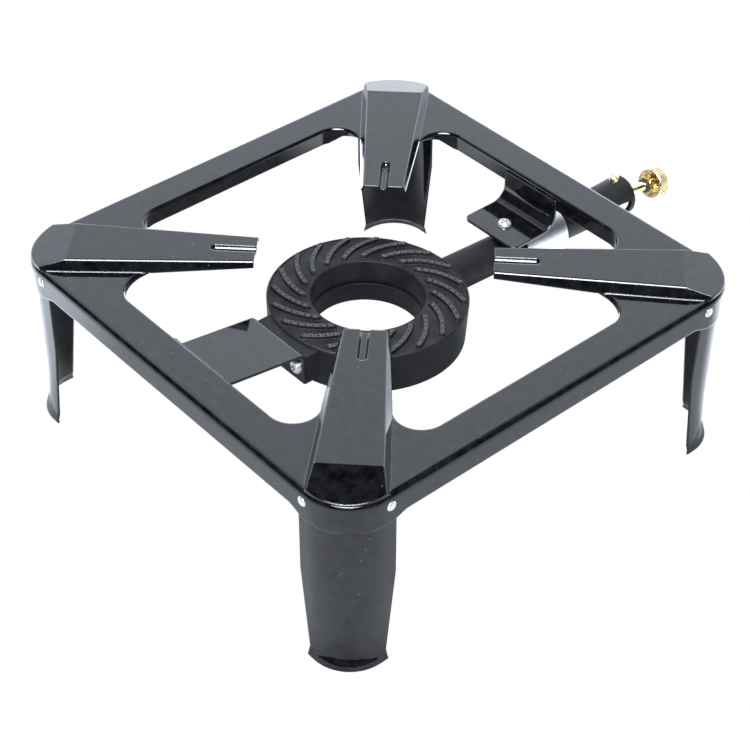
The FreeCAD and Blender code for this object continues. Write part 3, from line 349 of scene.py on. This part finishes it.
def plated_material(name, shade, spangle=0.0, metallic=1.0):
    """Plated metal: fine brushed unevenness and, on galvanised sheet, soft spangles."""
    finish = new_finish(name)
    fine = finish.noise(scale=500.0, detail=3.0)
    cells = finish.noise(scale=38.0, detail=2.0)
    dark = scaled(shade, 0.86 - spangle)
    tone = finish.blend(cells.rises(0.3, 0.7), dark, shade)
    soft = finish.soft_edges(radius=0.3 * MM)
    return finish.surface(Base_Color=tone, Metallic=metallic, Roughness=fine * 0.12 + 0.30,
                          Normal=finish.bump(fine, FINE_RELIEF, strength=0.3, normal=soft))


def brass_material():
    """Turned brass: fine tool marks and patches of darker tarnish."""
    chosen = settings().metal
    finish = new_finish("turned_brass")
    marks = finish.noise(scale=1400.0, detail=1.0)
    tarnish = finish.noise(scale=160.0, detail=3.0).rises(0.35, 0.8)
    shade = finish.blend(tarnish * 0.35, chosen.brass, chosen.tarnish)
    soft = finish.soft_edges(radius=0.4 * MM)
    return finish.surface(Base_Color=shade, Metallic=1.0, Roughness=tarnish * 0.12 + 0.20,
                          Normal=finish.bump(marks, FINE_RELIEF, strength=0.35, normal=soft))


def washer_material(name, shade):
    """Dull soft disc with a fine grain."""
    finish = new_finish(name)
    grain = finish.noise(scale=900.0, detail=2.0)
    tone = finish.blend(grain, scaled(shade, 0.7), scaled(shade, 1.3))
    return finish.surface(Base_Color=tone, Roughness=0.6,
                          Normal=finish.bump(grain, distance=0.03 * MM, strength=0.4))


def dress(piece, material):
    """Gives a piece one material all over."""
    piece.data.materials.clear()
    piece.data.materials.append(material)
    return piece


# ---------------------------------------------------------------- meshes

SMOOTH_ANGLE = 35.0
WELD_DISTANCE = 0.001 * MM
# Keeps the division by a normal's length safe where a corner's faces have no area.
LEAST_LENGTH = 1e-20


def new_piece(name, points, faces, body, slot, *nodes):
    """A smooth mesh piece that rides on a body and stands for CAD nodes; its slot is not used."""
    mesh = bpy.data.meshes.new(name)
    mesh.from_pydata(points.tolist(), [], faces.tolist())
    mesh.validate()
    mesh.shade_smooth()
    piece = bpy.data.objects.new(name, mesh)
    bpy.context.scene.collection.objects.link(piece)
    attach(piece, body)
    if nodes:
        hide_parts(*nodes)
    return piece


def read_array(items, name, width, kind=np.float64):
    """One property of a mesh's vertices, corners or faces as an array."""
    values = np.empty(len(items) * width, kind)
    items.foreach_get(name, values)
    return values.reshape(-1, width) if width > 1 else values


def shade_by_area(mesh, angle):
    """Sets each corner's normal to the sum of area times normal over the faces at its point
    that lie within the angle of the corner's own face, so flat faces stay flat to their edge
    and only the narrow bends between them turn."""
    mesh.shade_smooth()
    normals = read_array(mesh.polygons, "normal", 3)
    areas = read_array(mesh.polygons, "area", 1)
    counts = read_array(mesh.polygons, "loop_total", 1, np.int32)
    points = read_array(mesh.loops, "vertex_index", 1, np.int32)
    faces = np.repeat(np.arange(len(counts)), counts)
    order = np.argsort(points, kind="stable")
    meeting = np.bincount(points, minlength=len(mesh.vertices))
    starts = np.concatenate([[0], np.cumsum(meeting)[:-1]])
    around = meeting[points]
    corner = np.repeat(np.arange(len(points)), around)
    step = np.arange(len(corner)) - np.repeat(np.cumsum(around) - around, around)
    other = faces[order[starts[points[corner]] + step]]
    alike = (normals[faces[corner]] * normals[other]).sum(1) > math.cos(math.radians(angle))
    weighted = normals[other] * (areas[other] * alike)[:, None]
    summed = np.stack([np.bincount(corner, weighted[:, axis], len(points)) for axis in range(3)],
                      -1)
    lengths = np.linalg.norm(summed, axis=1, keepdims=True)
    mesh.normals_split_custom_set((summed / np.maximum(lengths, LEAST_LENGTH)).tolist())


def smooth_copy(node, body):
    """A welded copy of a CAD node, smooth across edges flatter than the smoothing angle."""
    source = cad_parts[node]
    mesh = source.data.copy()
    mesh.name = node + "_finish"
    work = bpy.data.objects.new(node + "_finish", mesh)
    bpy.context.scene.collection.objects.link(work)
    welded = bmesh.new()
    welded.from_mesh(mesh)
    bmesh.ops.remove_doubles(welded, verts=welded.verts, dist=WELD_DISTANCE)
    welded.to_mesh(mesh)
    welded.free()
    shade_by_area(mesh, SMOOTH_ANGLE)
    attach(work, body)
    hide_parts(node)
    return work


def ring_faces(rows, columns):
    """Faces of a closed profile carried round a circle, both ways joined up."""
    row = np.arange(rows)[:, None]
    column = np.arange(columns)[None, :]
    next_row, next_column = (row + 1) % rows, (column + 1) % columns
    corners = (row * columns + column, next_row * columns + column,
               next_row * columns + next_column, row * columns + next_column)
    return np.stack([np.broadcast_to(c, (rows, columns)) for c in corners], -1).reshape(-1, 4)


def eased(values, low, high):
    """0 below low, 1 above high, with a smooth step between."""
    share = np.clip((values - low) / (high - low), 0.0, 1.0)
    return share * share * (3.0 - 2.0 * share)


def add_attribute(piece, name, values):
    layer = piece.data.attributes.new(name, "FLOAT", "POINT")
    layer.data.foreach_set("value", values.astype(np.float32).ravel())


# ---------------------------------------------------------------- burner crown

TILT = math.radians(2.4)
BURNER_LIFT = 93.1 * MM
BURNER_OFFSET = -8.3 * MM
CROWN_TOP = 35.5 * MM
CROWN_INNER, CROWN_MIDDLE, CROWN_OUTER = 44.8 * MM, 61.0 * MM, 76.7 * MM
CROWN_SAG = 0.35 * MM
CROWN_SAG_REACH = 15.0 * MM
LIP_ROUND, RIM_ROUND = 1.0 * MM, 0.6 * MM
# The profile under the crown, from its rim inwards and up the skirt, as radius and height in mm.
CROWN_UNDERSIDE = ((76.7, 30.5), (62.0, 30.5), (47.2, 30.5), (47.2, 22.0), (47.2, 14.5),
                   (43.9, 14.5), (44.05, 20.0), (44.3, 27.0))
RIB_START, RIB_END = 49.8 * MM, 74.2 * MM
RIB_SWEEP = math.radians(-28.0)
RIB_HALF = 2.3 * MM
# Distances from a rib's line at which its flank begins and ends.
RIB_FLANK = (RIB_HALF - 0.9 * MM, RIB_HALF + 0.3 * MM)
RIB_RISE = 3.0 * MM
COLLAR_EDGE = (RIB_HALF - 0.2 * MM, RIB_HALF + 0.2 * MM)
COLLAR_RISE = 0.6 * MM
PORT_RADIUS = 1.1 * MM
PORT_MOUTH = 1.65 * MM
PORT_EDGE = (PORT_MOUTH - 0.25 * MM, PORT_MOUTH)
PORT_DEPTH = 4.5 * MM
# Points on the crown's grid: round the circle for each rib, across the top, along a rib line,
# and on each of the two rounded edges.
COLUMNS_PER_RIB, TOP_ROWS, LINE_POINTS, ROUND_POINTS = 54, 70, 60, 3


def hung(points):
    """Turns points of the level burner by its tilt about X and hangs them in the frame."""
    x, along, height = points[..., 0], points[..., 1], points[..., 2]
    y = FRAME_MIDDLE_Y + BURNER_OFFSET + along * math.cos(TILT) + height * math.sin(TILT)
    z = BURNER_LIFT - along * math.sin(TILT) + height * math.cos(TILT)
    return np.stack([x, y, z], -1)


def rib_line(share):
    """A rib's middle line: the radius grows and the angle turns evenly with the share."""
    radius = RIB_START + (RIB_END - RIB_START) * share
    angle = RIB_SWEEP * share
    return np.stack([radius * np.cos(angle), radius * np.sin(angle)], -1)


def nearest(points, targets):
    """Distance from each point to the nearest target, both as X and Y."""
    apart = points[..., None, :] - targets
    return np.sqrt((apart ** 2).sum(-1)).min(-1)


def turned_copies(points, angles):
    """Points turned about Z by each angle, in one list."""
    x, y = points[:, 0], points[:, 1]
    return np.concatenate([np.stack([x * math.cos(a) - y * math.sin(a),
                                     x * math.sin(a) + y * math.cos(a)], -1) for a in angles])


def crown_mesh(rib_count, ports):
    """The ring cap: a profile of radius and height carried round. On top the height sinks
    slightly towards both edges, rises by a smooth step of the distance to the nearest rib line
    and falls by one of the distance to the nearest port, whose mouth is countersunk inside a
    raised collar. The grid is sheared to follow the ribs. Returns the points, the faces and
    the masks of the ribs, the ports and the collars."""
    radius = np.linspace(CROWN_INNER + LIP_ROUND, CROWN_OUTER - RIM_ROUND, TOP_ROWS)
    share = np.clip((radius - RIB_START) / (RIB_END - RIB_START), 0.0, 1.0)
    step = 2 * math.pi / rib_count
    angle = (np.arange(COLUMNS_PER_RIB) / COLUMNS_PER_RIB - 0.5) * step
    theta = angle[None, :] + RIB_SWEEP * share[:, None]
    flat = np.stack([radius[:, None] * np.cos(theta), radius[:, None] * np.sin(theta)], -1)
    turns = [-step, 0.0, step]
    to_rib = nearest(flat, turned_copies(rib_line(np.linspace(0, 1, LINE_POINTS)), turns))
    to_port = nearest(flat, turned_copies(rib_line(np.linspace(0, 1, ports)), turns))
    proud = 1.0 - eased(to_rib, *RIB_FLANK)
    sunk = 1.0 - eased(to_port, PORT_RADIUS, PORT_MOUTH)
    port = 1.0 - eased(to_port, *PORT_EDGE)
    collar = (1.0 - eased(to_port, *COLLAR_EDGE)) * (1.0 - port)
    sag = CROWN_SAG * eased(np.abs(radius - CROWN_MIDDLE), 0.0, CROWN_SAG_REACH)
    top = (CROWN_TOP - sag[:, None] + proud * (RIB_RISE - COLLAR_RISE) + collar * COLLAR_RISE
           - sunk * PORT_DEPTH)

    edge_top = CROWN_TOP - CROWN_SAG
    quarter = np.linspace(0.0, math.pi / 2, ROUND_POINTS + 1)[1:]
    rim = [(CROWN_OUTER - RIM_ROUND * (1 - math.sin(a)), edge_top - RIM_ROUND * (1 - math.cos(a)))
           for a in quarter]
    lip = [(CROWN_INNER + LIP_ROUND * (1 - math.sin(a)), edge_top - LIP_ROUND * (1 - math.cos(a)))
           for a in quarter]
    under = [(r * MM, h * MM) for r, h in CROWN_UNDERSIDE]
    around = np.array(rim + under + lip[::-1])
    angles = (np.arange(rib_count * COLUMNS_PER_RIB) / COLUMNS_PER_RIB - 0.5) * step
    sweep = RIB_SWEEP * np.concatenate([share, np.linspace(1.0, 0.0, len(around))])
    radii = np.concatenate([radius, around[:, 0]])
    low = np.repeat(around[:, 1][:, None], len(angles), 1)
    heights = np.concatenate([np.tile(top, (1, rib_count)), low])
    theta = angles[None, :] + sweep[:, None]
    points = np.stack([radii[:, None] * np.cos(theta), radii[:, None] * np.sin(theta),
                       heights], -1)
    blank = np.zeros_like(low)
    masks = [np.concatenate([np.tile(mask, (1, rib_count)), blank])
             for mask in (proud, port, collar)]
    return hung(points).reshape(-1, 3), ring_faces(*heights.shape), masks


# ---------------------------------------------------------------- pieces

class RANGE_OT_pressed_frame(bpy.types.Operator):
    """Finishes the pressed top frame with its four pot arms"""
    bl_idname = "pot_range.pressed_frame"
    bl_label = "Pressed frame"

    def execute(self, context):
        dress(smooth_copy("top_frame", "range"), shared("enamel"))
        return {"FINISHED"}


class RANGE_OT_legs(bpy.types.Operator):
    """Finishes the four bent sheet legs"""
    bl_idname = "pot_range.legs"
    bl_label = "Legs"

    def execute(self, context):
        for corner in ("front_right", "rear_right", "rear_left", "front_left"):
            dress(smooth_copy("leg_" + corner, "range"), shared("enamel"))
        return {"FINISHED"}


class RANGE_OT_brackets(bpy.types.Operator):
    """Finishes the front and rear brackets that carry the burner"""
    bl_idname = "pot_range.brackets"
    bl_label = "Brackets"

    def execute(self, context):
        for node in ("front_bracket", "rear_bracket"):
            dress(smooth_copy(node, "range"), shared("enamel"))
        return {"FINISHED"}


class RANGE_OT_burner(bpy.types.Operator):
    """Finishes the cast burner body and its ring cap"""
    bl_idname = "pot_range.burner"
    bl_label = "Burner"

    def execute(self, context):
        chosen = settings().casting
        dress(smooth_copy("burner_body", "range"), shared("casting"))
        points, faces, masks = crown_mesh(chosen.rib_count, chosen.ports)
        crown = new_piece("burner_crown", points, faces, "range", "casting", "burner_cap")
        for name, mask in zip(("proud", "port", "collar"), masks):
            add_attribute(crown, name, mask)
        dress(crown, shared("crown"))
        return {"FINISHED"}


class RANGE_OT_sleeve(bpy.types.Operator):
    """Finishes the galvanised heat sleeve on the mixer tube"""
    bl_idname = "pot_range.sleeve"
    bl_label = "Heat sleeve"

    def execute(self, context):
        dress(smooth_copy("tube_sleeve", "range"), shared("galvanised"))
        return {"FINISHED"}


class RANGE_OT_inlet(bpy.types.Operator):
    """Finishes the brass gas inlet with its union nut and lock screw"""
    bl_idname = "pot_range.inlet"
    bl_label = "Gas inlet"

    def execute(self, context):
        for node in ("inlet_stem", "gas_jet", "inlet_hex", "inlet_nipple", "lock_screw"):
            dress(smooth_copy(node, "range"), shared("brass"))
        dress(smooth_copy("union_nut", "union_nut_body"), shared("brass"))
        dress(smooth_copy("stem_washer", "range"), shared("washer"))
        dress(smooth_copy("union_seal", "range"), shared("seal"))
        return {"FINISHED"}


class RANGE_OT_fasteners(bpy.types.Operator):
    """Finishes the plated rivets and screws"""
    bl_idname = "pot_range.fasteners"
    bl_label = "Rivets and screws"

    def execute(self, context):
        for node in ("leg_rivets", "front_bracket_screws", "rear_bracket_screw", "cap_screws"):
            dress(smooth_copy(node, "range"), shared("zinc"))
        return {"FINISHED"}


# Materials that have been made, by name.
MADE = {}


def shared(name):
    """A material that several pieces share, made at its first use."""
    metal = settings().metal
    makers = {
        "enamel": enamel_material,
        "casting": casting_material,
        "crown": crown_material,
        "zinc": lambda: plated_material("bright_zinc", metal.zinc, metallic=0.5),
        "galvanised": lambda: plated_material("galvanised_sheet", metal.sleeve, spangle=0.06),
        "brass": brass_material,
        "washer": lambda: washer_material("dark_washer", metal.washer),
        "seal": lambda: washer_material("fibre_seal", metal.seal),
    }
    if name not in MADE:
        MADE[name] = makers[name]()
    return MADE[name]


# ---------------------------------------------------------------- stage

# Level direction from the object towards the far left, where the open end of the studio is.
OPEN_END = (-0.757, 0.653)
# Cosines of the angle from that direction at which the open end begins and is full.
OPEN_EDGE = (0.25, 0.60)
# Heights (sines of the elevation) between which the floor's glow turns into the dark end.
HORIZON_EDGE = (-0.02, 0.0)
# Direction to the key light's reflection, high above the camera, and the cosines at which it
# begins and is full.
KEY_SIDE = (0.33, -0.39, 0.86)
KEY_EDGE = (0.93, 0.96)
KEY_GLOW = 36.0
DARK_END_GLOW = 0.04
FLOOR_GLOW = 1.2
# The floor's glow in reflections at distances from the object's middle towards the open end.
FLOOR_LEVELS = ((-0.05, FLOOR_GLOW), (0.06, 3.0), (0.12, 3.0), (0.20, 1.6), (0.30, 1.6),
                (0.44, 5.0), (0.54, 5.0), (0.64, FLOOR_GLOW))
# A painted shadow: the floor is dark in reflections this far from the frame's middle, and open
# beyond the second.
SHADE_GLOW = 0.3
SHADE_REACH = (0.17, 0.24)
# The open end's glow in reflections at heights (sines of the elevation).
OPEN_LEVELS = ((0.24, 3.1), (0.36, 1.85), (0.76, 1.85), (0.88, 0.0))
# Colours of the room's light in reflections and to the eye and matt surfaces.
REFLECTED = (0.93, 0.99, 1.10)
ROOM_WHITE = (0.97, 0.98, 1.0)
FLOOR_MATT = (0.86, 0.86, 0.87, 1.0)
# Keeps the division by the level part of a direction safe straight above and below.
ZENITH_MARGIN = 0.0001
FLOOR_GAP = 0.3 * MM
LAMP_PLACE = (0.65, -0.72, 1.75)
LAMP_SIDE = 0.5
LAMP_TARGET = (0.0, 0.0, 0.12)
SENSOR_WIDTH = 36.0
VIEW_DEPTH = 50.0


def studio_world():
    """White to the camera and plain grey to matt surfaces. In reflections the room is dark,
    with a pale panel over its open end, a bright sweep low behind it and a key light high
    above the camera."""
    chosen = settings().stage
    world = bpy.data.worlds.new("studio")
    bpy.context.scene.world = world
    finish = Finish(world)
    path = finish.node("ShaderNodeLightPath")
    direction = finish.node("ShaderNodeTexCoord")["Generated"]
    parts = finish.node("ShaderNodeSeparateXYZ", None, {"Vector": direction})
    height = parts["Z"]
    level = (1.0 - height * height + ZENITH_MARGIN) ** 0.5
    towards_end = (parts["X"] * OPEN_END[0] + parts["Y"] * OPEN_END[1]) / level
    behind = towards_end.rises(*OPEN_EDGE)
    front = (1.0 - height.rises(*HORIZON_EDGE)) * FLOOR_GLOW + DARK_END_GLOW
    towards_key = parts["X"] * KEY_SIDE[0] + parts["Y"] * KEY_SIDE[1] + height * KEY_SIDE[2]
    key = towards_key.rises(*KEY_EDGE) * KEY_GLOW
    open_end = finish.graded(height, OPEN_LEVELS)
    graded = behind * open_end + (1.0 - behind) * front + key
    plain = path["Is Diffuse Ray"] * chosen.daylight
    seen = path["Is Camera Ray"] + path["Is Transmission Ray"]
    strength = seen.clamped() + path["Is Glossy Ray"] * graded + plain
    tone = finish.blend(path["Is Glossy Ray"], ROOM_WHITE, REFLECTED)
    light = finish.node("ShaderNodeBackground", None,
                        {"Color": tone, "Strength": strength})["Background"]
    finish.node("ShaderNodeOutputWorld", None, {"Surface": light})


def floor_material():
    """Pale floor: white to the camera. In reflections it is dark under the object, a painted
    shadow, and has bright bands towards the open end."""
    finish = new_finish("pale_floor")
    path = finish.node("ShaderNodeLightPath")
    spot = finish.node("ShaderNodeSeparateXYZ", None, {"Vector": finish.place()})
    across, depth = spot["X"], spot["Y"] - FRAME_MIDDLE_Y
    along = across * OPEN_END[0] + depth * OPEN_END[1]
    clear = across.maths("MAXIMUM", across.maths("ABSOLUTE", across),
                         depth.maths("ABSOLUTE", depth))
    open_floor = finish.graded(along, FLOOR_LEVELS)
    # Painted shadow: the glow in reflections drops under the object.
    glow = clear.rises(*SHADE_REACH) * (open_floor - SHADE_GLOW) + SHADE_GLOW
    matt = finish.node("ShaderNodeBsdfDiffuse", None, {"Color": FLOOR_MATT})["BSDF"]
    strength = path["Is Camera Ray"] + path["Is Glossy Ray"] * glow
    tone = finish.blend(path["Is Glossy Ray"], (1.0, 1.0, 1.0), REFLECTED)
    white = finish.node("ShaderNodeEmission", None,
                        {"Color": tone, "Strength": strength})["Emission"]
    share = (path["Is Camera Ray"] + path["Is Glossy Ray"]).clamped()
    mixed = finish.node("ShaderNodeMixShader", None, {0: share, 1: matt, 2: white})["Shader"]
    finish.node("ShaderNodeOutputMaterial", None, {"Surface": mixed})
    return finish.owner


def add_softbox(name, place, target, side, power):
    """A square lamp that faces its target."""
    lamp = bpy.data.lights.new(name, "AREA")
    lamp.shape = "RECTANGLE"
    lamp.size = side
    lamp.size_y = side
    lamp.energy = power
    holder = bpy.data.objects.new(name, lamp)
    holder.location = place
    holder.rotation_euler = (target - place).to_track_quat("-Z", "Y").to_euler()
    bpy.context.scene.collection.objects.link(holder)


class RANGE_OT_stage(bpy.types.Operator):
    """Sets the camera, the pale floor, the room and the lamps"""
    bl_idname = "pot_range.stage"
    bl_label = "Stage"

    def execute(self, context):
        chosen = settings().stage
        scene = context.scene
        scene.view_settings.view_transform = "Standard"
        middle = Vector((0.0, FRAME_MIDDLE_Y, 0.0))
        lens = bpy.data.cameras.new("photo_camera")
        lens.sensor_width = SENSOR_WIDTH
        lens.lens = chosen.focal
        lens.clip_end = VIEW_DEPTH
        camera = bpy.data.objects.new("photo_camera", lens)
        camera.location = middle + Vector(chosen.eye)
        camera.rotation_euler = Vector(chosen.gaze).to_track_quat("-Z", "Y").to_euler()
        scene.collection.objects.link(camera)
        scene.camera = camera

        half = chosen.floor_size / 2
        corners = [(x, y, -FLOOR_GAP) for x, y in ((-half, -half), (half, -half), (half, half),
                                                   (-half, half))]
        mesh = bpy.data.meshes.new("floor")
        mesh.from_pydata(corners, [], [(0, 1, 2, 3)])
        floor = bpy.data.objects.new("floor", mesh)
        scene.collection.objects.link(floor)
        floor.data.materials.append(floor_material())

        studio_world()
        add_softbox("high_front_lamp", middle + Vector(LAMP_PLACE), middle + Vector(LAMP_TARGET),
                    LAMP_SIDE, chosen.lamp_power)
        return {"FINISHED"}


class RANGE_PT_panel(bpy.types.Panel):
    """Lists the pieces in the sidebar"""
    bl_label = "Stock Pot Range"
    bl_idname = "RANGE_PT_panel"
    bl_space_type = "VIEW_3D"
    bl_region_type = "UI"
    bl_category = "Range"

    def draw(self, context):
        for operator in OPERATORS:
            self.layout.operator(operator.bl_idname)
        for group in ("enamel", "casting", "metal", "stage"):
            box = self.layout.box()
            owner = getattr(settings(), group)
            for name in owner.__annotations__:
                box.prop(owner, name)


OPERATORS = (RANGE_OT_pressed_frame, RANGE_OT_legs, RANGE_OT_brackets, RANGE_OT_burner,
             RANGE_OT_sleeve, RANGE_OT_inlet, RANGE_OT_fasteners, RANGE_OT_stage)
CLASSES = (EnamelSettings, CastingSettings, MetalSettings, StageSettings, RangeSettings,
           *OPERATORS, RANGE_PT_panel)


def register():
    for owned in CLASSES:
        bpy.utils.register_class(owned)
    bpy.types.Scene.pot_range = PointerProperty(type=RangeSettings)


def unregister():
    del bpy.types.Scene.pot_range
    for owned in reversed(CLASSES):
        bpy.utils.unregister_class(owned)


def main():
    register()
    for operator in OPERATORS:
        group, name = operator.bl_idname.split(".")
        getattr(getattr(bpy.ops, group), name)()


if __name__ == "__main__":
    main()
